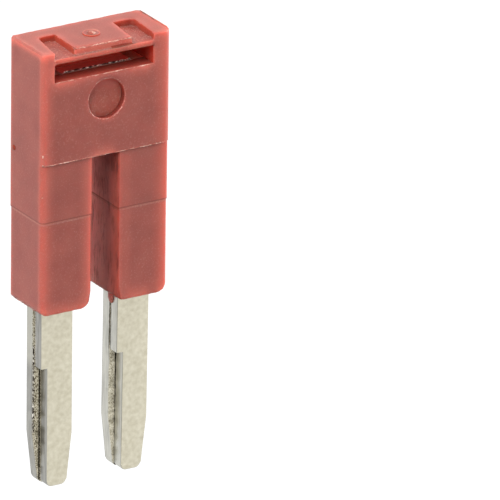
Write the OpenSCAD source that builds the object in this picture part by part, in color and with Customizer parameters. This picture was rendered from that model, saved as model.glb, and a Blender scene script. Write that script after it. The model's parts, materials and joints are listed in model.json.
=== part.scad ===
// Plug-in jumper that links two neighbouring terminal blocks.
// Two identical stamped plates lie back to back in a moulded housing with a head and two legs.
// Frame: X along the row of pins, -Y is the front with the window, +Z up, away from the blocks.
// The origin lies midway between the two pins, level with the underside of the legs.

/* [Pins] */
// Distance between the centres of the two pins, which is the width of one terminal block
pitch = 5.2; // [5:0.1:6.2]
// Width of a pin
pin_w = 2.12; // [1.8:0.02:2.3]
// Length of the pins below the legs
pin_l = 11.36; // [9:0.02:13]
// Thickness of the sheet that each plate is stamped from
sheet = 0.8; // [0.6:0.05:0.9]
// Gap between the two plates
seam = 0.08; // [0.04:0.02:0.14]
// Distance from the legs down to the step in one edge of a pin
step_drop = 3.8; // [2:0.1:5]
// Depth of that step
step_w = 0.42; // [0.2:0.02:0.5]
// Length of the tapered stretch at the tip, on the other edge
taper_l = 3.2; // [2:0.1:4]
// Narrowing of the pin over that stretch
taper_w = 0.38; // [0.1:0.02:0.5]
// Radius of the corners at the tip
tip_r = 0.38; // [0.1:0.02:0.4]

/* [Contact bar] */
// Height of the bar that joins the pins inside the head
bar_h = 4; // [2:0.1:4.4]
// Size of the cut at the bar's upper corners
bar_cut = 1.4; // [0.4:0.02:1.6]
// Height of the bar's upper edge above the sill of the window
bar_show = 0.08; // [0.02:0.02:0.3]

/* [Legs] */
// Length of the legs below the head
leg_l = 9.46; // [7:0.1:12]
// Wall beside a pin, at its narrow sides
leg_wall_x = 0.655; // [0.5:0.005:0.9]
// Wall in front of and behind a pin
leg_wall_y = 1.06; // [0.8:0.02:1.3]
// Height of the fine step that runs around each leg
ring_z = 5.82; // [3:0.02:6.5]
// Depth of that step: the leg is a little slimmer below it
ring_step = 0.03; // [0.02:0.01:0.06]
// Radius of the legs' lower left corners, seen from the front
foot_left_r = 0.45; // [0.3:0.05:0.9]
// Radius of the legs' lower right corners
foot_right_r = 0.75; // [0.3:0.05:0.9]

/* [Head] */
// Height of the head
head_h = 6.94; // [6.6:0.02:8]
// How far the head stands out in front of the legs
head_proud = 0.06; // [0.02:0.01:0.2]
// How far the head stands out past the right leg
head_out = 0.12; // [0.02:0.01:0.2]
// Radius of the housing's upright edges
edge_r = 0.3; // [0.15:0.05:0.4]
// Radius of the head's upright edge at the front right
corner_r = 0.55; // [0.2:0.05:0.7]
// Radius of the head's top edge at the left end
crown_left_r = 0.22; // [0.06:0.02:0.3]
// Radius of the head's top edge at the right end
crown_right_r = 0.08; // [0.06:0.02:0.3]

/* [Top of the head] */
// Depth of the two pockets beside the pad
pocket_d = 0.42; // [0.3:0.02:0.6]
// Radius of the pockets' corners at the back
pocket_r = 0.3; // [0.1:0.05:0.45]
// Width of the raised pad in the middle
pad_w = 3.86; // [3:0.02:4.2]
// Distance of the pad's front behind the front of the head
pad_back = 0.14; // [0.06:0.02:0.4]
// Width of the rim behind the pockets
rim_w = 1.13; // [0.8:0.01:1.4]
// Radius of the gate mark on the pad
gate_r = 0.52; // [0.3:0.02:0.8]
// Height of the gate mark
gate_h = 0.06; // [0.04:0.01:0.16]
// Distance of the gate mark in front of the seam between the plates
gate_ahead = 0.15; // [0:0.05:0.4]

/* [Front of the head] */
// Thickness of the lip above the window
lip_t = 0.32; // [0.25:0.01:0.5]
// Height of the window
window_h = 1.12; // [0.8:0.02:1.3]
// Wall at the left end of the window and of the pockets
end_wall_left = 0.82; // [0.7:0.02:1.2]
// Wall at the right end of the window and of the pockets
end_wall_right = 1.26; // [0.8:0.02:1.4]
// Radius of the round recess
dimple_r = 1.22; // [0.8:0.02:1.3]
// Depth of the round recess
dimple_d = 0.4; // [0.2:0.02:0.6]
// Distance from the sill of the window down to the recess
dimple_drop = 0.38; // [0.3:0.02:0.8]

/* [Hidden] */

// Gap left around the plates inside the moulding
fit_gap = 0.02;
// Overlap that keeps cuts clear of the faces they open
past = 1;
// Overhang of a rounding profile past the block it rounds
overhang = 0.02;
// Width of the worn edge around the recess
dimple_edge = 0.03;
$fn = 64;

plates_t = 2 * sheet + seam;
leg_w = pin_w + 2 * leg_wall_x;
leg_d = plates_t + 2 * leg_wall_y;
head_left = -(pitch + leg_w) / 2;
head_right = (pitch + leg_w) / 2 + head_out;
head_w = head_right - head_left;
head_d = leg_d + head_proud;
front_y = -leg_d / 2 - head_proud;
back_y = leg_d / 2;
top_z = leg_l + head_h;
open_left = head_left + end_wall_left;
open_right = head_right - end_wall_right;
pocket_z = top_z - pocket_d;
window_top = pocket_z - lip_t;
sill_z = window_top - window_h;
bar_top = sill_z + bar_show;
bar_bottom = bar_top - bar_h;
bar_w = pitch + pin_w;
dimple_z = sill_z - dimple_drop - dimple_r;

// Rectangle centred on the origin with all four corners rounded
module rounded_rect(w, d, r) {
    square([w, d - 2 * r], center = true);
    square([w - 2 * r, d], center = true);
    for (x = [-1, 1], y = [-1, 1])
        translate([x * (w / 2 - r), y * (d / 2 - r)]) circle(r);
}

// Upright strip of width w that starts at height 0 and has its two lower corners rounded
module foot_outline(w, h, left_r, right_r) {
    translate([-w / 2, left_r]) square([w / 2, h - left_r]);
    translate([0, right_r]) square([w / 2, h - right_r]);
    translate([left_r - w / 2, 0]) square([w - left_r - right_r, h]);
    translate([left_r - w / 2, left_r]) circle(left_r);
    translate([w / 2 - right_r, right_r]) circle(right_r);
}

// Turns an outline drawn in X and Y upright, so that its Y becomes height, and gives it the depth d
module upright(d) {
    rotate([90, 0, 0]) linear_extrude(d, center = true) children();
}

module leg() {
    slim_w = leg_w - 2 * ring_step;
    slim_d = leg_d - 2 * ring_step;
    translate([0, 0, ring_z]) linear_extrude(leg_l - ring_z) rounded_rect(leg_w, leg_d, edge_r);
    intersection() {
        linear_extrude(ring_z) rounded_rect(slim_w, slim_d, edge_r);
        upright(leg_d + 2 * past)
            foot_outline(slim_w + 2 * overhang, ring_z + past, foot_left_r, foot_right_r);
    }
}

// Plan of the head: the upright edge at the front right has a radius of its own
module head_plan() {
    intersection() {
        rounded_rect(head_w, head_d, edge_r);
        translate([-past, past]) rounded_rect(head_w + 2 * past, head_d + 2 * past, corner_r);
    }
}

module head() {
    translate([(head_left + head_right) / 2, (front_y + back_y) / 2, leg_l]) intersection() {
        linear_extrude(head_h) head_plan();
        translate([0, 0, head_h]) mirror([0, 0, 1]) upright(head_d + 2 * past)
            foot_outline(head_w + 2 * overhang, head_h + past, crown_left_r, crown_right_r);
    }
}

// Room for both plates: the legs' channels and the space for the bar
module plate_room() {
    room_t = plates_t + 2 * fit_gap;
    room_w = pin_w + 2 * fit_gap;
    for (x = [-1, 1])
        translate([x * pitch / 2 - room_w / 2, -room_t / 2, -past])
            cube([room_w, room_t, bar_bottom + 2 * past]);
    upright(room_t) bar_outline(fit_gap);
}

// Outline of the bar, grown by g at its edges
module bar_outline(g) {
    half_w = bar_w / 2 + g;
    low = bar_bottom - g;
    high = bar_top + g;
    polygon([
        [-half_w, low],
        [half_w, low],
        [half_w, high - bar_cut],
        [half_w - bar_cut, high],
        [-half_w + bar_cut, high],
        [-half_w, high - bar_cut]
    ]);
}

// Slot-shaped window: it opens the front and the space above the plates
module window() {
    deep = plates_t / 2 + fit_gap - front_y;
    translate([open_left, front_y - past, sill_z])
        cube([open_right - open_left, deep + past, window_h]);
}

// One wide pocket that is open at the front, less the pad that is left standing in it
module pockets() {
    deep = head_d - rim_w;
    translate([0, front_y, pocket_z]) difference() {
        translate([(open_left + open_right) / 2, (deep - past) / 2, 0])
            linear_extrude(pocket_d + past) rounded_rect(open_right - open_left, deep + past, pocket_r);
        translate([-pad_w / 2, pad_back, -past])
            cube([pad_w, head_d, pocket_d + 3 * past]);
    }
}

// Shallow round recess with a worn edge
module dimple() {
    translate([0, front_y, dimple_z]) rotate([90, 0, 0]) {
        translate([0, 0, -dimple_d]) cylinder(h = dimple_d + past, r = dimple_r);
        translate([0, 0, -dimple_edge])
            cylinder(h = 2 * dimple_edge, r1 = dimple_r, r2 = dimple_r + 2 * dimple_edge);
    }
}

module housing() {
    color("#A65A50") {
        difference() {
            union() {
                head();
                for (x = [-1, 1])
                    translate([x * pitch / 2, 0, 0]) leg();
            }
            plate_room();
            window();
            pockets();
            dimple();
        }
        translate([0, -gate_ahead, top_z]) cylinder(h = gate_h, r = gate_r);
    }
}

// Outline of one pin: its left edge steps in, its right edge tapers, and both tip corners are round
module pin_outline() {
    left = -pin_w / 2;
    right = pin_w / 2;
    slope = sqrt(taper_w * taper_w + taper_l * taper_l);
    // Centres of the two tip corners, with the right one touching the tapered edge
    left_c = [left + step_w + tip_r, tip_r - pin_l];
    run = 1 - tip_r * (1 - taper_w / slope) / taper_l;
    touch = [right - taper_w * run, taper_l * (1 - run) - pin_l];
    right_c = touch + tip_r * [-taper_l, taper_w] / slope;
    polygon([
        [left, bar_bottom + past],
        [left, -step_drop],
        [left + step_w, -step_drop],
        [left + step_w, left_c[1]],
        left_c,
        [left_c[0], -pin_l],
        [right_c[0], -pin_l],
        right_c,
        touch,
        [right, taper_l - pin_l],
        [right, bar_bottom + past]
    ]);
    translate(left_c) circle(tip_r);
    translate(right_c) circle(tip_r);
}

// One stamping: the bar with both pins, lying in front of the seam
module plate() {
    translate([0, -(seam + sheet) / 2, 0]) upright(sheet) {
        bar_outline(0);
        for (x = [-1, 1])
            translate([x * pitch / 2, 0]) pin_outline();
    }
}

module front_plate() {
    color("#C9C4B2") plate();
}

module back_plate() {
    color("#C9C4B2") rotate([0, 0, 180]) plate();
}

housing();
front_plate();
back_plate();
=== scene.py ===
import json
import math

import bpy
from mathutils import Matrix, Vector

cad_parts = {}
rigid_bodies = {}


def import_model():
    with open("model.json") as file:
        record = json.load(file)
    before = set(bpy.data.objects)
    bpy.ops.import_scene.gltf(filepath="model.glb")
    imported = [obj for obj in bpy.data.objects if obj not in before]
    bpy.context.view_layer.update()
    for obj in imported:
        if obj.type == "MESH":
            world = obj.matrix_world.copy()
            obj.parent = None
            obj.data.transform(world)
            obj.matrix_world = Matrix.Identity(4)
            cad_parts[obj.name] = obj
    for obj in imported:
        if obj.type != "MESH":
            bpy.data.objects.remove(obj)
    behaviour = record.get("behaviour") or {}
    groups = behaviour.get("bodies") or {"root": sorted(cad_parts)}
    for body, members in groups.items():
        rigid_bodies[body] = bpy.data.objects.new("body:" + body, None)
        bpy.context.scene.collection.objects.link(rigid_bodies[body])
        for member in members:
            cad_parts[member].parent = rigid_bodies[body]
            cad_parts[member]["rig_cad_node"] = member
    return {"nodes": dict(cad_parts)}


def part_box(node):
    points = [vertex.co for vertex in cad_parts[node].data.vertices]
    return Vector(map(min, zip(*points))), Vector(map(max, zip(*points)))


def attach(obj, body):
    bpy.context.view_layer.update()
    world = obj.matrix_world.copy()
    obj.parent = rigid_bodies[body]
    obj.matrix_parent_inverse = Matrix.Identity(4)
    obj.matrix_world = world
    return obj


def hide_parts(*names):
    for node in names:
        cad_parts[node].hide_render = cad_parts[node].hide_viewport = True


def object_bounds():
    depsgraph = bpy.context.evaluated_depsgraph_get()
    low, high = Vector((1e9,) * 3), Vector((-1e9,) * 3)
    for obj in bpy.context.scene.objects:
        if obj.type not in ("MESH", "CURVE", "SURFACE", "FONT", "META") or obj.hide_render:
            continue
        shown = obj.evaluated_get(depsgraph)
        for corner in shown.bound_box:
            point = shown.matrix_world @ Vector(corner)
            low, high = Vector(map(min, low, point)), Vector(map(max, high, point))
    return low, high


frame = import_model()
cad_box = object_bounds()


# Contact plates
# Two identical stampings in tin-plated copper alloy that lie back to back, with a fine seam between them.
# The punch leaves sheared edges: smooth where it enters, torn and ragged on the seam side.

mm = 0.001
weld_gap = 0.0001 * mm
flat_angle = math.radians(0.4)
sharp_angle = math.radians(35)
smooth_angle = math.radians(50)
sheet_edge_r = 0.03 * mm
tip_edge_r = 0.08 * mm
tip_edge_h = 0.3 * mm
tip_edge_y = 0.5 * mm
burr_step = 0.09 * mm
burr_wander = 0.014 * mm
burr_reach = 0.2 * mm
pin_x = 2.6 * mm
right_pin_lean = math.radians(-0.6)
plate_low, plate_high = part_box("front_plate")


def copy_of_solid(node, name):
    """Copies a solid of the frame and merges its loose triangles into whole flat faces."""
    bpy.ops.object.select_all(action="DESELECT")
    frame["nodes"][node].select_set(True)
    bpy.context.view_layer.objects.active = frame["nodes"][node]
    bpy.ops.object.duplicate()
    piece = bpy.context.active_object
    piece.name = name
    del piece["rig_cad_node"]
    bpy.ops.mesh.customdata_custom_splitnormals_clear()
    bpy.ops.object.mode_set(mode="EDIT")
    bpy.ops.mesh.select_all(action="SELECT")
    bpy.ops.mesh.remove_doubles(threshold=weld_gap)
    bpy.ops.mesh.dissolve_limited(angle_limit=flat_angle)
    bpy.ops.object.mode_set(mode="OBJECT")
    return piece


def edit_only(piece, kind, parts):
    """Opens a piece in edit mode with just these of its points, edges or faces selected."""
    for group in (piece.data.vertices, piece.data.edges, piece.data.polygons):
        group.foreach_set("select", [False] * len(group))
    for part in parts:
        part.select = True
    bpy.ops.object.mode_set(mode="EDIT")
    bpy.ops.mesh.select_mode(type=kind)


def round_edges(piece, radius, segments, chosen):
    """Rounds the sharp edges whose middle is chosen, and keeps the crests of the rounding as a group."""
    bpy.ops.object.mode_set(mode="EDIT")
    bpy.ops.mesh.select_mode(type="EDGE")
    bpy.ops.mesh.select_all(action="DESELECT")
    bpy.ops.mesh.edges_select_sharp(sharpness=sharp_angle)
    bpy.ops.object.mode_set(mode="OBJECT")
    points = piece.data.vertices
    sharp = [edge for edge in piece.data.edges if edge.select]
    middles = [(points[edge.vertices[0]].co + points[edge.vertices[1]].co) / 2 for edge in sharp]
    edit_only(piece, "EDGE", [edge for edge, middle in zip(sharp, middles) if chosen(middle)])
    bpy.ops.mesh.bevel(offset=radius, segments=segments, profile=0.5, clamp_overlap=False)
    bpy.ops.mesh.select_mode(type="VERT")
    bpy.ops.mesh.select_less()
    bpy.ops.object.vertex_group_assign_new()
    bpy.ops.object.mode_set(mode="OBJECT")


def cut_across(piece, axis, step):
    """Cuts the whole piece at even places along an axis, so that its long edges get points.

    The operator leaves out a cut that comes within 0.1 mm of points that are there, so finer steps thin out.
    """
    places = [corner[axis] for corner in piece.bound_box]
    low, high = min(places), max(places)
    count = math.ceil((high - low) / step)
    bpy.ops.object.mode_set(mode="EDIT")
    for i in range(1, count):
        point, normal = Vector(), Vector()
        point[axis] = low + (high - low) * i / count
        normal[axis] = 1
        bpy.ops.mesh.select_all(action="SELECT")
        bpy.ops.mesh.bisect(plane_co=point, plane_no=normal)
    bpy.ops.object.mode_set(mode="OBJECT")


def roughen_crests(piece, wander, seed, chosen):
    """Moves the chosen points on the crests of the rounded edges a little, as on a worn or torn edge."""
    edit_only(piece, "VERT", [point for point in piece.data.vertices if point.groups and chosen(point.co)])
    bpy.ops.transform.vertex_random(offset=wander, uniform=1.0, seed=seed)
    bpy.ops.object.mode_set(mode="OBJECT")
    bpy.ops.object.shade_smooth_by_angle(angle=smooth_angle)
    bpy.ops.object.modifier_add(type="WEIGHTED_NORMAL")
    piece.modifiers[0].keep_sharp = True
    bpy.ops.object.modifier_apply(modifier=piece.modifiers[0].name)


def linear(hex_colour):
    """The linear RGBA value of an sRGB hex colour."""
    shares = [int(hex_colour[i:i + 2], 16) / 255 for i in (1, 3, 5)]
    return [c / 12.92 if c <= 0.04045 else ((c + 0.055) / 1.055) ** 2.4 for c in shares] + [1]


def add(tree, kind, inputs=None, stops=(), **settings):
    """Adds a node to a tree, with its settings, its inputs and the stops of its colour ramp.

    An input is named, or numbered among those in use. It takes a plain value, an output of another node,
    or a node, which stands for its first output in use. A stop is a place and a hex colour.
    """
    node = tree.nodes.new("ShaderNode" + kind)
    for name, value in settings.items():
        setattr(node, name, value)
    sockets = [socket for socket in node.inputs if socket.enabled]
    names = [socket.name for socket in sockets]
    for key, value in (inputs or {}).items():
        socket = sockets[key if isinstance(key, int) else names.index(key)]
        if isinstance(value, bpy.types.Node):
            value = next(output for output in value.outputs if output.enabled)
        if isinstance(value, bpy.types.NodeSocket):
            tree.links.new(value, socket)
        else:
            socket.default_value = value
    while stops and len(node.color_ramp.elements) < len(stops):
        node.color_ramp.elements.new(0.5)
    for i, (position, colour) in enumerate(stops):
        node.color_ramp.elements[i].position = position
        node.color_ramp.elements[i].color = linear(colour)
    return node


def new_material(name):
    """An empty node material, and its tree."""
    material = bpy.data.materials.new(name)
    material.use_nodes = True
    material.node_tree.nodes.clear()
    return material, material.node_tree


# Matt tin plating on a stamped strip: the rolled faces are a warm, faintly mottled cream, the sheared sides
# a streaky grey, painted darker as a painted reflection of the darker room they face. Next to the seam the
# torn metal is speckled brown, and the edge inside the head gets a painted red glow from the plastic around
# it.
mottle_w = 0.3 * mm
streak_w = 0.2 * mm
streak_squeeze = 0.12
speck_w = 0.07 * mm
left_pin_side = -3.6 * mm
right_pin_side = 1.5 * mm
step_z = -3.8 * mm
step_fade = 0.4 * mm
seam_fade = 0.1 * mm
torn_w = 0.26 * mm
torn_fade = 0.1 * mm
torn_spread = 0.3 * mm
torn_relief = 0.03 * mm
lip_w = 0.1 * mm
lip_fade = 0.04 * mm
seam_shade_x = 1.985 * mm
seam_shade_half = 0.045 * mm
seam_shade_spread = 0.08 * mm
seam_shade_depth = 0.06 * mm
rim_depth = 0.78 * mm
rim_fade = 0.03 * mm
hidden_z = 14.0 * mm
hidden_fade = 0.4 * mm
red_glow_front = -0.85 * mm
red_glow_back = 0.5 * mm
gap_shade_reach = 0.07 * mm

tin_plating, tree = new_material("matt_tin_plating")
place = add(tree, "TexCoord")
spot = add(tree, "SeparateXYZ", {"Vector": place.outputs["Object"]})
facing = add(tree, "SeparateXYZ", {"Vector": place.outputs["Normal"]})
depth = add(tree, "Math", {0: spot.outputs["Y"]}, operation="ABSOLUTE")
to_right = add(tree, "MapRange", {
    "Value": spot.outputs["X"], "From Min": left_pin_side, "From Max": right_pin_side})
upper = add(tree, "MapRange", {
    "Value": spot.outputs["Z"], "From Min": step_z - step_fade, "From Max": step_z + step_fade})
flat = add(tree, "Math", {0: facing.outputs["Y"]}, operation="ABSOLUTE")
side = add(tree, "MapRange", {"Value": flat, "From Min": 0.9, "From Max": 0.6})
neat = add(tree, "Math", {0: to_right, 1: side}, operation="MULTIPLY")
# Rolled faces and sheared sides, whose darker grey is painted reflection of a darker room; the sides are
# brighter on the back plate above the step and on the right pin.
grain = add(tree, "TexNoise", {"Vector": place.outputs["Object"], "Scale": 1 / mottle_w, "Detail": 4.0})
rolled = add(tree, "ValToRGB", {"Fac": grain}, stops=((0.3, "#C0BAA5"), (0.7, "#D3CEBB")))
along = add(tree, "Mapping", {"Vector": place.outputs["Object"], "Scale": (1.0, 1.0, streak_squeeze)})
streak = add(tree, "TexNoise", {"Vector": along, "Scale": 1 / streak_w, "Detail": 4.0})
worn = add(tree, "ValToRGB", {"Fac": streak}, stops=((0.3, "#8C8B87"), (0.7, "#AEADA7")))
fresh = add(tree, "ValToRGB", {"Fac": streak}, stops=((0.3, "#B2B1AA"), (0.7, "#D0CFC6")))
behind = add(tree, "MapRange", {"Value": spot.outputs["Y"], "From Min": -seam_fade, "From Max": seam_fade})
bright = add(tree, "Math", {0: upper, 1: behind}, operation="MULTIPLY")
bright = add(tree, "Math", {0: bright, 1: 0.55}, operation="MULTIPLY")
worn = add(tree, "Mix", {"Factor": bright, "A": worn, "B": linear("#CCCABD")}, data_type="RGBA")
sheared = add(tree, "Mix", {"Factor": to_right, "A": worn, "B": fresh}, data_type="RGBA")
metal = add(tree, "Mix", {"Factor": side, "A": rolled, "B": sheared}, data_type="RGBA")
# Torn metal along the seam, cleaner on the right pin.
speck = add(tree, "TexNoise", {"Vector": place.outputs["Object"], "Scale": 1 / speck_w, "Detail": 2.0})
stained = add(tree, "ValToRGB", {"Fac": speck}, stops=(
    (0.34, "#4A4234"), (0.46, "#9C947E"), (0.6, "#D6D1BF")))
clean = add(tree, "ValToRGB", {"Fac": speck}, stops=(
    (0.3, "#8A8270"), (0.45, "#BCB6A2"), (0.6, "#D8D4C4")))
torn = add(tree, "Mix", {"Factor": to_right, "A": stained, "B": clean}, data_type="RGBA")
ragged = add(tree, "Math", {0: speck, 1: torn_spread, 2: depth}, operation="MULTIPLY_ADD")
near_seam = add(tree, "MapRange", {"Value": ragged, "From Min": torn_w + torn_fade, "From Max": torn_w})
near_seam = add(tree, "Math", {0: near_seam, 1: neat}, operation="SUBTRACT", use_clamp=True)
metal = add(tree, "Mix", {"Factor": near_seam, "A": metal, "B": torn}, data_type="RGBA")
# Painted shade: dark lips of the seam above the step, a dark seam line beside the stepped edges, a grey rim
# line.
lip = add(tree, "MapRange", {"Value": depth, "From Min": lip_w + lip_fade, "From Max": lip_w})
lip = add(tree, "Math", {0: lip, 1: side}, operation="MULTIPLY")
crisp = add(tree, "MapRange", {"Value": to_right, "To Min": 0.2})
crisp = add(tree, "Math", {0: crisp, 1: upper}, operation="MULTIPLY")
lip = add(tree, "Math", {0: lip, 1: crisp}, operation="MULTIPLY")
metal = add(tree, "Mix", {"Factor": lip, "A": metal, "B": linear("#2A251D")}, data_type="RGBA")
seam_shade = add(tree, "Math", {0: spot.outputs["X"], 1: pin_x, 2: -pin_x}, operation="WRAP")
seam_shade = add(tree, "Math", {0: seam_shade}, operation="ABSOLUTE")
seam_shade = add(tree, "Math", {0: speck, 1: seam_shade_spread, 2: seam_shade}, operation="MULTIPLY_ADD")
seam_shade = add(tree, "Math", {0: seam_shade, 1: seam_shade_x, 2: seam_shade_half}, operation="COMPARE")
inner = add(tree, "Math", {0: depth, 1: seam_shade_depth}, operation="LESS_THAN")
seam_shade = add(tree, "Math", {0: seam_shade, 1: inner}, operation="MULTIPLY")
metal = add(tree, "Mix", {"Factor": seam_shade, "A": metal, "B": linear("#38322A")}, data_type="RGBA")
rim = add(tree, "MapRange", {
    "Value": depth, "From Min": rim_depth, "From Max": rim_depth + rim_fade, "To Max": 0.7})
rim = add(tree, "Math", {0: rim, 1: neat}, operation="MULTIPLY")
metal = add(tree, "Mix", {"Factor": rim, "A": metal, "B": linear("#5A584C")}, data_type="RGBA")
# The edge inside the head mirrors little and gets a painted red glow of the plastic around it, lighter
# towards the back, and painted shade darkens the finest gaps.
hidden_edge = add(tree, "MapRange", {
    "Value": spot.outputs["Z"], "From Min": hidden_z, "From Max": hidden_z + hidden_fade})
inwards = add(tree, "MapRange", {
    "Value": spot.outputs["Y"], "From Min": red_glow_front, "From Max": red_glow_back})
red_glow = add(tree, "ValToRGB", {"Fac": inwards}, stops=(
    (0.0, "#A8695E"), (0.55, "#D08474"), (1.0, "#FFA58F")))
metal = add(tree, "Mix", {"Factor": hidden_edge, "A": metal, "B": red_glow}, data_type="RGBA")
bare = add(tree, "MapRange", {"Value": hidden_edge, "To Min": 1.0, "To Max": 0.2})
gap = add(tree, "AmbientOcclusion", {"Distance": gap_shade_reach}, samples=8)
gap_shade = add(tree, "MapRange", {"Value": gap.outputs["AO"], "From Min": 0.65, "From Max": 0.3})
metal = add(tree, "Mix", {"Factor": gap_shade, "A": metal, "B": linear("#1C1812")}, data_type="RGBA")
dull = add(tree, "MapRange", {"Value": near_seam, "To Min": 0.42, "To Max": 0.65})
relief = add(tree, "Bump", {"Height": speck, "Strength": near_seam, "Distance": torn_relief})
surface = add(tree, "BsdfPrincipled", {
    "Base Color": metal, "Metallic": bare, "Roughness": dull, "Normal": relief})
add(tree, "OutputMaterial", {"Surface": surface})


def at_tip(point):
    """True for the outer edges of the pins' tips, which are coined rounder."""
    return abs(point.y) > tip_edge_y and point.z < cad_box[0].z + tip_edge_h


for node in ("front_plate", "back_plate"):
    plate = copy_of_solid(node, node + "_stamping")
    round_edges(plate, tip_edge_r, 3, at_tip)
    round_edges(plate, sheet_edge_r, 2, lambda middle: not at_tip(middle))
    cut_across(plate, 2, burr_step)
    roughen_crests(plate, burr_wander, 3, lambda point: abs(point.y) < burr_reach)
    edit_only(plate, "VERT", [point for point in plate.data.vertices if point.co.x > 0 and point.co.z < 0])
    bpy.ops.transform.rotate(value=right_pin_lean, orient_axis="Y", center_override=(pin_x, 0, 0))
    bpy.ops.object.mode_set(mode="OBJECT")
    plate.data.materials.clear()
    plate.data.materials.append(tin_plating)
    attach(plate, "root")
    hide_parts(node)

# A torn edge glitters: bright grains of tin next to dark, bare metal.
tear_w = 0.2 * mm
torn_tin, tree = new_material("torn_tin_burr")
place = add(tree, "TexCoord")
grain = add(tree, "TexNoise", {"Vector": place.outputs["Object"], "Scale": 1 / tear_w, "Detail": 3.0})
metal = add(tree, "ValToRGB", {"Fac": grain}, stops=((0.46, "#3A302A"), (0.58, "#ECE7DC")))
surface = add(tree, "BsdfPrincipled", {"Base Color": metal, "Metallic": 0.7, "Roughness": 0.35})
add(tree, "OutputMaterial", {"Surface": surface})

ridge_step = 0.06 * mm
ridge_wander = 0.9
burr_x = 2.24 * mm
burr_y = plate_low.y + 0.01 * mm
burr_z = plate_high.z + 0.01 * mm
beads_y = 0.06 * mm
beads_top_z = -2.6 * mm
beads_low_z = -8.1 * mm


def make_uneven(wander, seed):
    """Moves all points of the active piece a little, each its own way, and puts its place in its mesh."""
    bpy.ops.object.mode_set(mode="EDIT")
    bpy.ops.mesh.select_all(action="SELECT")
    bpy.ops.transform.vertex_random(offset=wander, uniform=1.0, seed=seed)
    bpy.ops.object.mode_set(mode="OBJECT")
    bpy.ops.object.transform_apply()
    bpy.ops.object.shade_smooth()


def ridge(name, start, end, radius, seed):
    """A thin, uneven ridge from one point to another."""
    start, end = Vector(start), Vector(end)
    bpy.ops.object.select_all(action="DESELECT")
    bpy.ops.mesh.primitive_cylinder_add(vertices=8, radius=radius, depth=(end - start).length)
    piece = bpy.context.active_object
    piece.name = name
    cut_across(piece, 2, ridge_step)
    piece.location = (start + end) / 2
    piece.rotation_euler = (end - start).to_track_quat("Z", "Y").to_euler()
    make_uneven(ridge_wander * radius, seed)
    return piece


burr = ridge("window_burr",
             (-burr_x, burr_y, burr_z),
             (burr_x, burr_y, burr_z), 0.036 * mm, 8)
beads = ridge("left_pin_beads",
              (plate_low.x, beads_y, beads_top_z),
              (plate_low.x, beads_y, beads_low_z), 0.03 * mm, 15)
for piece in (burr, beads):
    piece.data.materials.append(torn_tin)
    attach(piece, "root")


# Housing
# One moulding in red polyamide that holds the plates: a head to grip and two legs that insulate the pins.
# The mould leaves softly rounded edges and a satin, slightly uneven skin, and thin walls let light through,
# which the materials also paint in as a glow at thin places.

mould_edge_r = 0.07 * mm
top_edge_r = 0.1 * mm
pad_edge_r = 0.2 * mm
mould_step = 0.3 * mm
mould_wander = 0.012 * mm
ring_z = 5.82 * mm
head_z = 9.46 * mm
sill_z = 14.54 * mm
window_z = 15.66 * mm
pocket_z = 15.98 * mm
top_z = 16.4 * mm
recess_z = 12.94 * mm
recess_r = 1.22 * mm
recess_back_y = -1.5 * mm
pad_y = -1.82 * mm
pad_x = 1.93 * mm
open_left = -3.495 * mm
open_right = 3.175 * mm
gate_y = -0.15 * mm
gate_r = 0.52 * mm
gate_rim_w = 0.14 * mm
gate_dip = 0.03 * mm
leg_x = 0.885 * mm
leg_y = 1.9 * mm
leg_edge_r = 0.3 * mm
leg_step = 0.03 * mm
core_from_z = 1.0 * mm
core_sharper = 0.3
front_y = cad_box[0].y
plate_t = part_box("back_plate")[1].y

# Sizes of the marks and of the painted glow, shade and highlights in the plastic.
flow_w = 1.6 * mm
skin_w = 0.1 * mm
broad_reach = 1.0 * mm
thin_reach = 0.6 * mm
recess_edge = 0.05 * mm
recess_calm = 2.4 * mm
core_fade = 0.4 * mm
dim_cores = ((1.0 * mm, 0.3 * mm), (open_right + 0.1 * mm, 0.15 * mm))
right_glow_span = (3.1 * mm, 4.4 * mm)
ring_lines = ((ring_z + 0.04 * mm, 0.05 * mm, "#581810"), (ring_z - 0.07 * mm, 0.06 * mm, "#BE7E6E"))


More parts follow.
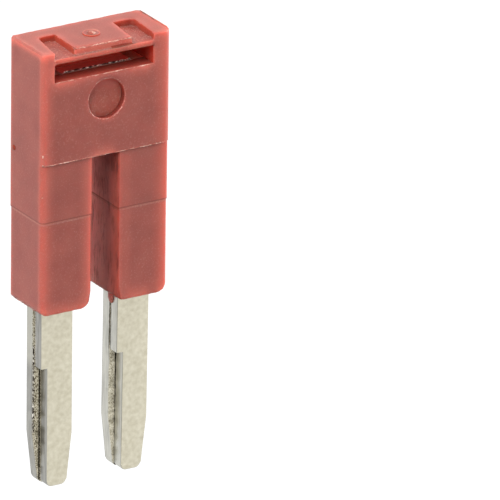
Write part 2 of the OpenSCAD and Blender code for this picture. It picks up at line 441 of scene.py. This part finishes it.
def polyamide(name, dark, light, rim, roughness=0.7, gloss=0.15, specks=0.1, rough_skin=0.02 * mm,
              reach=0.8 * mm, tint=None):
    """Red polyamide that scatters light to the given reach, so that thin walls and edges glow.

    The body runs from dark to light and turns to the rim colour, a painted glow, where the moulding is thin.
    Pale specks, which paint glints, and the height of the uneven skin set how coarse the mould's surface was.
    A tint is a function that takes the body's colour further. What isn't given is as on a dull inner wall.
    """
    material, tree = new_material(name)
    place = add(tree, "TexCoord")
    spot = add(tree, "SeparateXYZ", {"Vector": place.outputs["Object"]})
    facing = add(tree, "SeparateXYZ", {"Vector": place.outputs["Normal"]})
    flow = add(tree, "TexNoise", {"Vector": place.outputs["Object"], "Scale": 1 / flow_w, "Detail": 5.0})
    body = add(tree, "ValToRGB", {"Fac": flow}, stops=((0.3, dark), (0.7, light)))
    # The painted glow is broad on the front and narrow elsewhere, weak on top, and dim at the recess and the
    # cores.
    front = add(tree, "MapRange", {"Value": facing.outputs["Y"], "From Min": -0.7, "From Max": -0.95})
    edge = add(tree, "AmbientOcclusion", {"Distance": broad_reach}, inside=True, only_local=True, samples=8)
    broad = add(tree, "MapRange", {
        "Value": edge.outputs["AO"], "From Min": 0.98, "From Max": 0.7, "To Max": 0.45})
    broad = add(tree, "Math", {0: broad, 1: front}, operation="MULTIPLY")
    not_top = add(tree, "MapRange", {
        "Value": facing.outputs["Z"], "From Min": 0.95, "From Max": 0.3, "To Min": 0.45})
    thin = add(tree, "AmbientOcclusion", {"Distance": thin_reach}, inside=True, only_local=True, samples=8)
    narrow = add(tree, "MapRange", {"Value": thin.outputs["AO"], "From Min": 0.94, "From Max": 0.6})
    narrow = add(tree, "Math", {0: narrow, 1: not_top}, operation="MULTIPLY")
    glow = add(tree, "Math", {0: broad, 1: narrow}, operation="MAXIMUM")
    recess = (0, front_y, recess_z)
    away = add(tree, "VectorMath", {0: place.outputs["Object"], 1: recess}, operation="DISTANCE")
    solid = add(tree, "MapRange", {
        "Value": away, "From Min": recess_r + recess_edge, "From Max": recess_r + recess_calm})
    glow = add(tree, "Math", {0: glow, 1: solid}, operation="MULTIPLY")
    for core_x, half in dim_cores:
        core = add(tree, "Math", {0: spot.outputs["X"], 1: core_x}, operation="SUBTRACT")
        core = add(tree, "Math", {0: core}, operation="ABSOLUTE")
        core = add(tree, "MapRange", {
            "Value": core, "From Min": half, "From Max": half + core_fade, "To Min": 0.35})
        glow = add(tree, "Math", {0: glow, 1: core}, operation="MULTIPLY")
    body = add(tree, "Mix", {"Factor": glow, "A": body, "B": linear(rim)}, data_type="RGBA")
    # Painted glow: the right end is painted a lighter orange red, for the lamp at the right that shines
    # through it.
    right = add(tree, "MapRange", {
        "Value": spot.outputs["X"], "From Min": right_glow_span[0], "From Max": right_glow_span[1], "To Max": 0.5})
    right = add(tree, "Math", {0: right, 1: not_top}, operation="MULTIPLY")
    body = add(tree, "Mix", {"Factor": right, "A": body, "B": linear("#E66A54")}, data_type="RGBA")
    # A line of painted shade above and a line of painted highlight below mark the fine step around the legs,
    # and pale specks, painted glints, lie all over the skin.
    skin = add(tree, "TexNoise", {"Vector": place.outputs["Object"], "Scale": 1 / skin_w, "Detail": 4.0})
    for height, half, colour in ring_lines:
        line = add(tree, "Math", {0: spot.outputs["Z"], 1: height, 2: half}, operation="COMPARE")
        line = add(tree, "Math", {0: line, 1: skin}, operation="MULTIPLY")
        body = add(tree, "Mix", {"Factor": line, "A": body, "B": linear(colour)}, data_type="RGBA")
    pale = add(tree, "MapRange", {"Value": skin, "From Min": 0.55, "From Max": 0.75, "To Max": specks})
    body = add(tree, "Mix", {"Factor": pale, "A": body, "B": linear("#D9A091")}, data_type="RGBA")
    if tint:
        body = tint(tree, place, spot, body)
    relief = add(tree, "Bump", {"Height": skin, "Strength": 0.5, "Distance": rough_skin})
    surface = add(tree, "BsdfPrincipled", {
        "Base Color": body,
        "Roughness": roughness,
        "IOR": 1.53,
        "Specular IOR Level": gloss,
        "Subsurface Weight": 1.0,
        "Subsurface Radius": (1.0, 0.25, 0.18),
        "Subsurface Scale": reach,
        "Normal": relief,
    })
    add(tree, "OutputMaterial", {"Surface": surface})
    return material


def paler_above(height, colour):
    """A tint of painted light for the recess, against its shade: it blends a colour in, from a height up to
    the recess's top.
    """
    def tint(tree, place, spot, body):
        rise = add(tree, "MapRange", {
            "Value": spot.outputs["Z"], "From Min": height, "From Max": recess_z + recess_r})
        return add(tree, "Mix", {"Factor": rise, "A": body, "B": linear(colour)}, data_type="RGBA")
    return tint


drawn_front = -1.6 * mm
drawn_back = 1.0 * mm
scrape_w = 0.3 * mm
scrape_squeeze = 0.2


def drawn_tint(tree, place, spot, body):
    """A tint for the sides between the legs: painted light, paler towards the back, with upright scrapes."""
    inwards = add(tree, "MapRange", {
        "Value": spot.outputs["Y"], "From Min": drawn_front, "From Max": drawn_back})
    paler = add(tree, "ValToRGB", {"Fac": inwards}, stops=(
        (0.05, "#A67C70"), (0.4, "#A39190"), (0.75, "#DADAD9"), (0.97, "#FFFFFF")))
    along = add(tree, "Mapping", {"Vector": place.outputs["Object"], "Scale": (1.0, 1.0, scrape_squeeze)})
    scrape = add(tree, "TexNoise", {
        "Vector": along, "Scale": 1 / scrape_w, "Detail": 5.0, "Roughness": 0.7})
    scraped = add(tree, "ValToRGB", {"Fac": scrape}, stops=((0.36, "#C4BCBA"), (0.5, "#FFFFFF")))
    for tone in (paler, scraped):
        both = {"Factor": 1.0, "A": body, "B": tone}
        body = add(tree, "Mix", both, data_type="RGBA", blend_type="MULTIPLY")
    return body


# The polished mould gives most of the housing a satin skin, with a few pale specks that paint glints and
# edges with a painted glow.
satin = polyamide(
    "moulded_red_polyamide", "#9A493D", "#A85548", "#DE7462",
    roughness=0.45, gloss=0.5, specks=0.24, rough_skin=0.014 * mm)
# The thin lip above the window is painted lighter, as lit through, and so is the front of the pad behind it.
thin_lip = polyamide(
    "thin_red_polyamide", "#AC4E40", "#BA5C4C", "#C26250", roughness=0.5, gloss=0.4, specks=0.3)
# The floors of the pockets are spark eroded: they are coarse and darker, and many pale specks paint their
# sparkle.
eroded = polyamide(
    "spark_eroded_polyamide", "#7A3026", "#A85246", "#B05C4E",
    roughness=0.5, gloss=0.5, specks=0.9, rough_skin=0.06 * mm, reach=0.5 * mm)
# The floor of the recess is etched finely and looks soft and mottled, and it is painted paler towards its
# top, against the shade there.
etched = polyamide(
    "etched_red_polyamide", "#A24C3E", "#BE6858", "#BE6858",
    roughness=0.6, gloss=0.5, specks=0.35, rough_skin=0.03 * mm,
    tint=paler_above(recess_z + 0.3 * mm, "#E47466"))
# The pockets' walls are painted a dull, warm red, for light that has come through the plastic.
warm = polyamide("warm_red_polyamide", "#843024", "#963C2C", "#AA4632")
# The window's walls get all their light that way and from further off; they are painted a light, deep red for
# it.
deep = polyamide("deep_red_polyamide", "#DA6254", "#E66E60", "#DC6658", gloss=0.1, reach=3.0 * mm)
# The window's right wall faces the lamp, so painted shade gives it a darker red than the other walls.
bare_red = polyamide("dark_red_polyamide", "#A03426", "#AC3C2C", "#A03022", gloss=0.1, reach=2.6 * mm)
# The floor beside the plates lies deepest in the head; it is painted a light, warm red for the light in the
# walls around it.
inner_red = polyamide("lit_red_polyamide", "#DA8272", "#E68E7E", "#DE8676", gloss=0.1, reach=1.5 * mm)
# The sill is painted dusky, as shade: it sees little of the room.
dusky = polyamide("dusky_red_polyamide", "#843024", "#92392C", "#963C2E")
# The recess's wall is painted dark for the shade it lies in, and paler towards its top, where the shade
# lessens.
shaded = polyamide(
    "shaded_red_polyamide", "#68231B", "#7A2D22", "#8A3426", tint=paler_above(recess_z, "#BE5241"))
# The sides between the legs are coarse and dull where the mould's core was drawn out, and they are painted
# light, paler towards the back, for the light that comes in between the legs from behind.
drawn = polyamide(
    "drawn_dull_polyamide", "#E08C86", "#FFA89F", "#F08A7A",
    roughness=0.8, gloss=0.25, specks=0.6, rough_skin=0.05 * mm, reach=0.5 * mm, tint=drawn_tint)

# Tolerances for picking points and faces by their place, and how far a face is turned towards an axis.
hair = 0.01 * mm
near = 0.05 * mm
clear = 0.06 * mm
mostly = 0.7
partly = 0.5
slightly = 0.3


def on_gate(point):
    """True on the gate mark."""
    return math.hypot(point.x, point.y - gate_y) < gate_r + clear and point.z > top_z - near


def in_recess(point):
    """True in the round recess and on its worn edge."""
    return math.hypot(point.x, point.z - recess_z) < recess_r + 2 * near and point.y < recess_back_y


def moulded(point):
    """True for the edges that the mould rounds: not the fine steps, nor the room of the plates inside."""
    inside = abs(point.y) < plate_t + near and point.z < sill_z
    fine = min(abs(point.z - ring_z), abs(point.z - head_z)) < near
    return not (inside or fine or on_gate(point) or in_recess(point))


def pad_front_edge(point):
    """True on the upper front edge of the pad."""
    return abs(point.z - top_z) < hair and abs(point.y - pad_y) < hair


def lip_outline(point):
    """True on the front edge of the window's top and of its upper corners."""
    return point.y < front_y + hair and window_z - 3 * near < point.z < window_z + hair


def above_window(point):
    """True on the lip and all that lies higher, apart from the front outline of the window."""
    return point.z > window_z - 2 * near and not lip_outline(point)


housing = copy_of_solid("housing", "housing_moulding")
edit_only(housing, "FACE", [face for face in housing.data.polygons if face.center.z > top_z + gate_dip])
bpy.ops.mesh.inset(thickness=gate_rim_w, depth=-gate_dip)
bpy.ops.object.mode_set(mode="OBJECT")

# The mould's inserts stood a little askew, so the pockets' walls lean to the right towards the back.
# Each row is a wall's place, the stretch of it that moves, from front to back, and the shift.
leaning_walls = (
    (open_left, 0.3 * mm, 0.9 * mm, 0.4 * mm),
    (-pad_x, -1.9 * mm, -1.7 * mm, -0.15 * mm),
    (pad_x, -1.9 * mm, -1.7 * mm, -0.13 * mm),
    (pad_x, 0.7 * mm, 0.9 * mm, 0.12 * mm),
    (open_right, 0.3 * mm, 0.9 * mm, 0.2 * mm),
)
wall_corner = 0.32 * mm
for wall, low, high, shift in leaning_walls:
    edit_only(housing, "VERT", [point for point in housing.data.vertices if (
        abs(point.co.x - wall) < wall_corner and low < point.co.y < high
        and pocket_z - hair < point.co.z < top_z + hair)])
    bpy.ops.transform.translate(value=(shift, 0, 0))
    bpy.ops.object.mode_set(mode="OBJECT")

# A core shaped the legs' inner sides and left sharper upright edges there than the mould's halves did.
# The legs are slimmer by a fine step below the ring, so each edge has two stretches.
bpy.ops.object.mode_set(mode="EDIT")
bpy.ops.mesh.select_all(action="SELECT")
bpy.ops.mesh.bisect(plane_co=(0, 0, core_from_z), plane_no=(0, 0, 1))
bpy.ops.object.mode_set(mode="OBJECT")
for x, y, inset in ((x, y, inset) for x in (-1, 1) for y in (-1, 1) for inset in (0, leg_step)):
    corner = Vector((x * (leg_x + inset), y * (leg_y - inset), 0))
    middle = corner + Vector((x, -y, 0)) * leg_edge_r
    edit_only(housing, "VERT", [point for point in housing.data.vertices if (
        abs((point.co - middle).xy.length - leg_edge_r) < hair / 2
        and core_from_z - hair < point.co.z < head_z + hair)])
    bpy.ops.transform.resize(value=(core_sharper, core_sharper, 1), center_override=corner)
    bpy.ops.object.mode_set(mode="OBJECT")

round_edges(housing, pad_edge_r, 5, pad_front_edge)
round_edges(housing, top_edge_r, 4, lambda middle: moulded(middle) and above_window(middle))
round_edges(housing, mould_edge_r, 3, lambda middle: moulded(middle) and not above_window(middle))
for axis in range(3):
    cut_across(housing, axis, mould_step)
roughen_crests(housing, mould_wander, 7, lambda point: True)


def paint(piece, material, chosen):
    """Gives the faces whose middle and direction are chosen a material of their own."""
    if material.name not in piece.data.materials:
        piece.data.materials.append(material)
    piece.active_material_index = piece.data.materials.find(material.name)
    edit_only(piece, "FACE", [face for face in piece.data.polygons if chosen(face.center, face.normal)])
    bpy.ops.object.material_slot_assign()
    bpy.ops.object.mode_set(mode="OBJECT")


def in_opening(point):
    """True inside the window and the pockets, behind the front and below the top."""
    across = open_left - 0.03 * mm < point.x < open_right + 0.25 * mm
    behind = front_y + clear < point.y < plate_t + clear
    return across and behind and sill_z - hair < point.z < top_z - 0.03 * mm


def in_window(point):
    """True inside the window, its top included."""
    return in_opening(point) and point.z < window_z + hair


def on_sill(point, normal):
    """True on the floor of the window."""
    return in_opening(point) and point.z < sill_z + near and normal.z > mostly


def on_lip(point):
    """True on the lip above the window and on the front of the pad behind it."""
    across = open_left < point.x < open_right
    return across and point.y < pad_y + 2 * near and window_z - hair < point.z < top_z - 2 * near


def at_pad_foot(point):
    """True along the foot of the pad, where it meets the ledge in front, to the right of its middle."""
    across = 0.35 * mm < point.x < 1.75 * mm
    low = pocket_z - hair < point.z < pocket_z + 0.09 * mm
    return across and low and abs(point.y - pad_y + near) < 0.07 * mm


bar_end_x = 2.2 * mm
core_side_x = 1.2 * mm
housing.data.materials.clear()
paint(housing, satin, lambda middle, normal: True)
paint(housing, deep, lambda middle, normal: in_window(middle))
paint(housing, bare_red, lambda middle, normal: (
    in_window(middle) and middle.x > open_right - 2 * near and normal.x < -partly))
paint(housing, dusky, on_sill)
paint(housing, inner_red, lambda middle, normal: (
    on_sill(middle, normal) and middle.y > -plate_t - near and abs(middle.x) > bar_end_x))
paint(housing, warm, lambda middle, normal: (
    in_opening(middle) and middle.z > pocket_z and abs(normal.z) < mostly))
paint(housing, eroded, lambda middle, normal: (
    in_opening(middle) and middle.z > pocket_z - near and normal.z > mostly))
paint(housing, thin_lip, lambda middle, normal: (
    on_lip(middle) and middle.z > window_z + hair and -partly < normal.z < mostly))
# The lip's underside is painted a warm red, for the light that comes through it.
paint(housing, warm, lambda middle, normal: (
    on_lip(middle) and middle.z < pocket_z and normal.z < -partly))
# Painted shade: a dark line along the foot of the pad.
paint(housing, warm, lambda middle, normal: at_pad_foot(middle))
paint(housing, etched, lambda middle, normal: (
    in_recess(middle) and middle.y > front_y + 0.3 * mm and normal.y < -mostly))
paint(housing, shaded, lambda middle, normal: (
    in_recess(middle) and middle.y > front_y + 0.04 * mm and abs(normal.y) < mostly))
# The gate mark's low side wall is painted a dull red, as painted shade round its edge.
paint(housing, warm, lambda middle, normal: middle.z > top_z + hair and normal.z < partly)
paint(housing, drawn, lambda middle, normal: (
    abs(middle.x) < core_side_x and middle.z < head_z + hair and abs(normal.x) > slightly))
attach(housing, "root")
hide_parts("housing")


# Flash and gate scar
# Thin uneven seams of plastic that the mould left where its halves met, and the torn stub on the gate mark.
# Their pale colour is partly plastic turned pale where it tore and partly painted highlights along their
# crests, so they show as fine pale lines.

# Torn polyamide turns pale in patches, where stretching has opened tiny voids in it; on the fine seams the
# pale patches are also painted highlights.
patch_w = 0.3 * mm
pale_and_highlit, tree = new_material("torn_pale_and_highlit_polyamide")
place = add(tree, "TexCoord")
tear = add(tree, "TexNoise", {"Vector": place.outputs["Object"], "Scale": 1 / patch_w, "Detail": 3.0})
body = add(tree, "ValToRGB", {"Fac": tear}, stops=((0.4, "#B05A4B"), (0.52, "#CC8C7C"), (0.66, "#F3D3C2")))
surface = add(tree, "BsdfPrincipled", {"Base Color": body, "Roughness": 0.6, "IOR": 1.53})
add(tree, "OutputMaterial", {"Surface": surface})

seam_z = head_z + 0.01 * mm
seam_y = front_y + 0.012 * mm
seam_left = -4.0 * mm
seam_right = 3.9 * mm
sill_seam_y = front_y + 0.01 * mm
sill_seam_z = sill_z - 0.01 * mm
sill_seam_end = 0.015 * mm
pad_seam_x = 1.801 * mm
pad_seam_y = pad_y + 0.068 * mm
pad_seam_z = top_z - 0.068 * mm
foot_seam_x = 1.52 * mm
foot_seam_z = 0.085 * mm
foot_seam_front = -1.5 * mm
foot_seam_back = 1.6 * mm
corner_seam_left = -4.22 * mm
head_edge_x = cad_box[0].x + 0.09 * mm
head_edge_y = front_y + 0.088 * mm
leg_edge_x = cad_box[0].x + 0.088 * mm
leg_edge_y = -leg_y + 0.088 * mm
ring_r = 0.02 * mm
ring_sunk = 0.016 * mm
ring_wander = 0.018 * mm
stub_x = 0.02 * mm
stub_r = 0.24 * mm
stub_up = 0.02 * mm
stub_squash = 0.3
stub_wander = 0.03 * mm


def joined(name, pieces):
    """Joins several bits of plastic into one piece."""
    bpy.ops.object.select_all(action="DESELECT")
    for piece in pieces:
        piece.select_set(True)
    bpy.context.view_layer.objects.active = pieces[0]
    bpy.ops.object.join()
    pieces[0].name = name
    return pieces[0]


seams = [
    ridge("head_foot_seam",
          (seam_left, seam_y, seam_z),
          (seam_right, seam_y, seam_z), 0.024 * mm, 1),
    ridge("head_corner_seam",
          (corner_seam_left, front_y + 0.095 * mm, seam_z),
          (seam_left, front_y + 0.005 * mm, seam_z), 0.03 * mm, 2),
    ridge("sill_seam",
          (open_left + sill_seam_end, sill_seam_y, sill_seam_z),
          (open_right - sill_seam_end, sill_seam_y, sill_seam_z), 0.02 * mm, 5),
    ridge("pad_seam",
          (-pad_seam_x, pad_seam_y, pad_seam_z),
          (pad_seam_x, pad_seam_y, pad_seam_z), 0.036 * mm, 7),
    ridge("left_foot_seam",
          (-pin_x - foot_seam_x, foot_seam_front, foot_seam_z),
          (-pin_x - foot_seam_x, foot_seam_back, foot_seam_z), 0.024 * mm, 3),
    ridge("right_foot_seam",
          (pin_x - foot_seam_x, foot_seam_front, foot_seam_z),
          (pin_x - foot_seam_x, foot_seam_back, foot_seam_z), 0.02 * mm, 4),
    # Three pale nibs on the front-left edge are painted glints.
    ridge("upper_glint_nib",
          (head_edge_x, head_edge_y, 10.0 * mm),
          (head_edge_x, head_edge_y, 10.14 * mm), 0.03 * mm, 8),
    ridge("corner_glint_nib",
          (head_edge_x, head_edge_y, head_z),
          (head_edge_x, head_edge_y, head_z + 0.1 * mm), 0.035 * mm, 9),
    ridge("lower_glint_nib",
          (leg_edge_x, leg_edge_y, 7.45 * mm),
          (leg_edge_x, leg_edge_y, 7.6 * mm), 0.03 * mm, 10),
]
# A pale ring round the recess's edge, a painted highlight along its rim.
bpy.ops.object.select_all(action="DESELECT")
bpy.ops.mesh.primitive_torus_add(
    location=(0, front_y + ring_sunk, recess_z), rotation=(math.pi / 2, 0, 0),
    major_segments=120, minor_segments=8, major_radius=recess_r + recess_edge, minor_radius=ring_r)
seams.append(bpy.context.active_object)
make_uneven(ring_wander, 6)
flash = joined("mould_flash", seams)
flash.data.materials.append(pale_and_highlit)

bpy.ops.object.select_all(action="DESELECT")
bpy.ops.mesh.primitive_ico_sphere_add(
    subdivisions=4, radius=stub_r, location=(stub_x, gate_y, top_z + stub_up))
stub = bpy.context.active_object
stub.name = "gate_stub"
bpy.ops.object.mode_set(mode="EDIT")
bpy.ops.mesh.select_all(action="SELECT")
bpy.ops.transform.resize(value=(1.0, 1.0, stub_squash), center_override=stub.location)
bpy.ops.object.mode_set(mode="OBJECT")
make_uneven(stub_wander, 9)
stub.data.materials.append(pale_and_highlit)

tongue_wander = 0.012 * mm


def tongue(name, middle, size, narrow, seed):
    """A flat, rounded tongue of plastic that narrows downwards, with its middle and size in millimetres."""
    bpy.ops.object.select_all(action="DESELECT")
    bpy.ops.mesh.primitive_cube_add(size=1, location=Vector(middle) * mm)
    piece = bpy.context.active_object
    piece.name = name
    piece.scale = Vector(size) * mm
    bpy.ops.object.transform_apply()
    edit_only(piece, "VERT", [point for point in piece.data.vertices if point.co.z < middle[2] * mm])
    bpy.ops.transform.resize(value=(1.0, narrow, 1.0), center_override=Vector(middle) * mm)
    bpy.ops.mesh.select_all(action="SELECT")
    bpy.ops.mesh.subdivide(number_cuts=5, smoothness=0.6)
    bpy.ops.object.mode_set(mode="OBJECT")
    make_uneven(tongue_wander, seed)
    return piece


drip = joined("pin_flash", [
    tongue("right_pin_drip", (1.53, -0.12, -0.36), (0.12, 0.42, 0.85), 0.6, 11),
    tongue("left_pin_bit", (-3.68, -0.02, -0.12), (0.12, 0.22, 0.34), 0.6, 12),
    tongue("left_edge_bit", (-3.64, -0.86, -0.1), (0.16, 0.12, 0.3), 0.6, 13),
    tongue("side_nick_shade", (-4.31, 1.3, 9.6), (0.04, 0.3, 0.25), 0.8, 14),
])
paint(drip, satin, lambda middle, normal: True)
# The bit on the head's left side is painted dusky, a painted shade spot for a small nick there.
paint(drip, dusky, lambda middle, normal: middle.z > head_z)

for piece in (flash, stub, drip):
    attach(piece, "root")


# Floor and light
# A plain white table well below the jumper, soft boxes at its upper left and at its right, and a bright room.
# The table looks white to the camera and in reflections, and still takes the jumper's shadow.

floor_drop = 40 * mm
floor_size = 3000 * mm
table_glow = 0.72
ambient = 0.6
box_distance = 400 * mm
box_size = 250 * mm


def seen(tree):
    """1 for what the camera sees, also mirrored or through glass, and 0 for what only lights the jumper."""
    rays = add(tree, "LightPath")
    sight = {0: rays.outputs["Is Camera Ray"], 1: rays.outputs["Is Glossy Ray"]}
    sight = add(tree, "Math", sight, operation="MAXIMUM")
    return add(tree, "Math", {0: sight, 1: rays.outputs["Is Transmission Ray"]}, operation="MAXIMUM")


bpy.ops.object.select_all(action="DESELECT")
bpy.ops.mesh.primitive_plane_add(size=floor_size, location=(0, 0, cad_box[0].z - floor_drop))
floor = bpy.context.active_object
floor.name = "floor"
# Matt white laminate: it shows no grain, so only the shadow gives it any tone.
white_table, tree = new_material("white_table")
matt = add(tree, "BsdfDiffuse", {"Color": linear("#909090")})
glow = add(tree, "Emission", {"Color": linear("#FFFFFF"), "Strength": table_glow})
both = add(tree, "AddShader", {0: matt, 1: glow})
shown = add(tree, "MixShader", {0: seen(tree), 1: matt, 2: both})
add(tree, "OutputMaterial", {"Surface": shown})
floor.data.materials.append(white_table)

world = bpy.data.worlds.new("bright_room")
bpy.context.scene.world = world
world.use_nodes = True
tree = world.node_tree
tree.nodes.clear()
level = add(tree, "MapRange", {"Value": seen(tree), "To Min": ambient, "To Max": 1.0})
sky = add(tree, "Background", {"Color": linear("#FFFFFF"), "Strength": level})
add(tree, "OutputWorld", {"Surface": sky})


def direction(azimuth, elevation):
    """Unit vector from the jumper towards that azimuth, with 0 in front of it, and elevation, in degrees."""
    a, e = math.radians(azimuth), math.radians(elevation)
    return Vector((math.sin(a) * math.cos(e), -math.cos(a) * math.cos(e), math.sin(e)))


def soft_box(name, azimuth, elevation, level):
    """A square lamp that looks at the jumper and lights a white face turned to it to that level."""
    towards = direction(azimuth, elevation)
    middle = (cad_box[0] + cad_box[1]) / 2
    bpy.ops.object.light_add(type="AREA", location=middle + towards * box_distance)
    lamp = bpy.context.active_object
    lamp.name = name
    lamp.rotation_euler = towards.to_track_quat("Z", "Y").to_euler()
    lamp.data.size = box_size
    lamp.data.energy = level * (math.pi * box_distance) ** 2


soft_box("key_box", azimuth=-57.8, elevation=49.1, level=1.12)
soft_box("side_box", azimuth=85, elevation=15, level=0.95)


# Camera
# It stands to the left of the jumper's front and looks down a little, through a long lens.
# The jumper fills the left third of the picture, so the lens points past its right side.

camera_azimuth = -30.85
camera_elevation = 21.883
camera_roll = 0.425
camera_distance = 783 * mm
lens = 962.7
sensor = 36
clip_near = 10 * mm
clip_far = 10000 * mm
focus = Vector((0, 0, 3 * mm))
aside = 9.468 * mm
below = 0.151 * mm

back = direction(camera_azimuth, camera_elevation)
right = Vector((math.cos(math.radians(camera_azimuth)), math.sin(math.radians(camera_azimuth)), 0))
up = back.cross(right)
eye = focus + back * camera_distance
back = (eye - focus - right * aside + up * below).normalized()
right = (right - back * right.dot(back)).normalized()
up = back.cross(right)
stand = Matrix((right, up, back)).transposed() @ Matrix.Rotation(math.radians(camera_roll), 3, "Z")
bpy.ops.object.camera_add(location=eye, rotation=stand.to_euler())
camera = bpy.context.active_object
camera.data.lens = lens
camera.data.sensor_width = sensor
camera.data.clip_start = clip_near
camera.data.clip_end = clip_far
bpy.context.scene.camera = camera
bpy.context.scene.view_settings.view_transform = "Standard"
